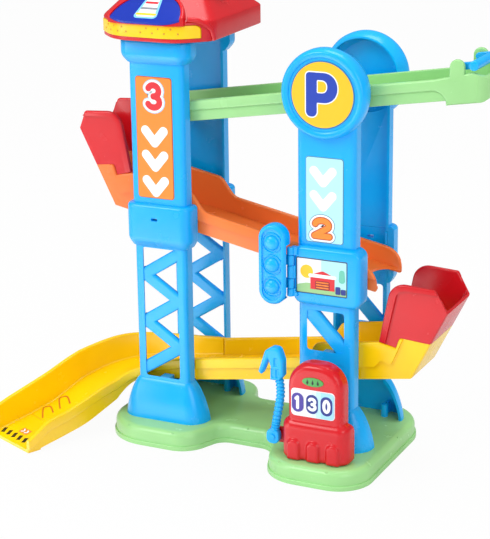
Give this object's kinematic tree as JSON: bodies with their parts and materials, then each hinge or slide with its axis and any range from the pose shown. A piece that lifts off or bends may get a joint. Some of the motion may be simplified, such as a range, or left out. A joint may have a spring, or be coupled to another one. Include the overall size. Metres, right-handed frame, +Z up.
{
  "type": "toy parking garage",
  "caption": "Toy car garage: open towers carry sloping ramps and catchers down to a curved exit; with a gate, a swinging traffic light and a petrol pump.",
  "frame": {"origin": "on the underside of the base, midway between the two towers and on the mid-plane of the ramps", "axes": "+X from the tower with the roof to the tower with the round sign, +Y to the back, +Z up; the front with the signs looks along -Y"},
  "size_m": [0.4974, 0.2382, 0.4643],
  "materials": {
    "blue_plastic": "smooth gloss moulding",
    "green_plastic": "smooth gloss moulding",
    "orange_plastic": "smooth gloss moulding",
    "yellow_plastic": "smooth gloss moulding",
    "red_plastic": "smooth gloss moulding",
    "deep_blue_plastic": "smooth gloss moulding",
    "print": "printed vinyl",
    "steel": "bright zinc"
  },
  "bodies": {
    "root": {"base_tray": "green_plastic", "base_screw_1": "steel", "base_screw_2": "steel", "base_screw_3": "steel", "base_screw_4": "steel", "base_screw_5": "steel", "base_screw_6": "steel", "base_screw_7": "steel", "base_screw_8": "steel", "base_screw_9": "steel", "base_screw_10": "steel", "front_left_column": "blue_plastic", "front_left_panel": "blue_plastic", "front_right_column": "blue_plastic", "front_right_panel": "blue_plastic", "rear_left_column": "blue_plastic", "rear_left_panel": "blue_plastic", "rear_right_column": "blue_plastic", "rear_right_panel": "blue_plastic", "top_ramp": "green_plastic", "middle_ramp": "orange_plastic", "lower_ramp": "yellow_plastic", "exit_ramp": "yellow_plastic", "left_catcher": "red_plastic", "right_catcher": "red_plastic", "pump_housing": "red_plastic", "pump_display": "print", "pump_badge": "green_plastic", "hose_pin": "blue_plastic", "roof_shell": "red_plastic", "roof_underside": "red_plastic", "roof_band": "yellow_plastic", "roof_badge": "deep_blue_plastic", "roof_sign": "yellow_plastic", "sticker_three": "print", "sticker_two": "print", "parking_sign": "print", "billboard_print": "print", "roof_screw_1": "steel", "roof_screw_2": "steel", "roof_screw_3": "steel", "roof_screw_4": "steel"},
    "gate": {"gate_bar": "blue_plastic"},
    "traffic_light": {"traffic_light_front": "blue_plastic", "traffic_light_back": "blue_plastic", "traffic_light_pin": "steel"},
    "fuel_nozzle": {"fuel_hose": "blue_plastic"}
  },
  "joints": [
    {"name": "gate_hinge", "type": "hinge", "parent": "root", "child": "gate", "pos_m": [0.212, 0, 0.4015], "axis": [0, -1, 0], "range_deg": [0, 95]},
    {"name": "traffic_light_hinge", "type": "hinge", "parent": "root", "child": "traffic_light", "pos_m": [0.0575, -0.0605, 0.2045], "axis": [0, 0, 1], "range_deg": [0, 90]},
    {"name": "fuel_nozzle_hinge", "type": "hinge", "parent": "root", "child": "fuel_nozzle", "pos_m": [0.0513, -0.088, 0.037], "axis": [0, -1, 0], "range_deg": [0, 80]}
  ]
}
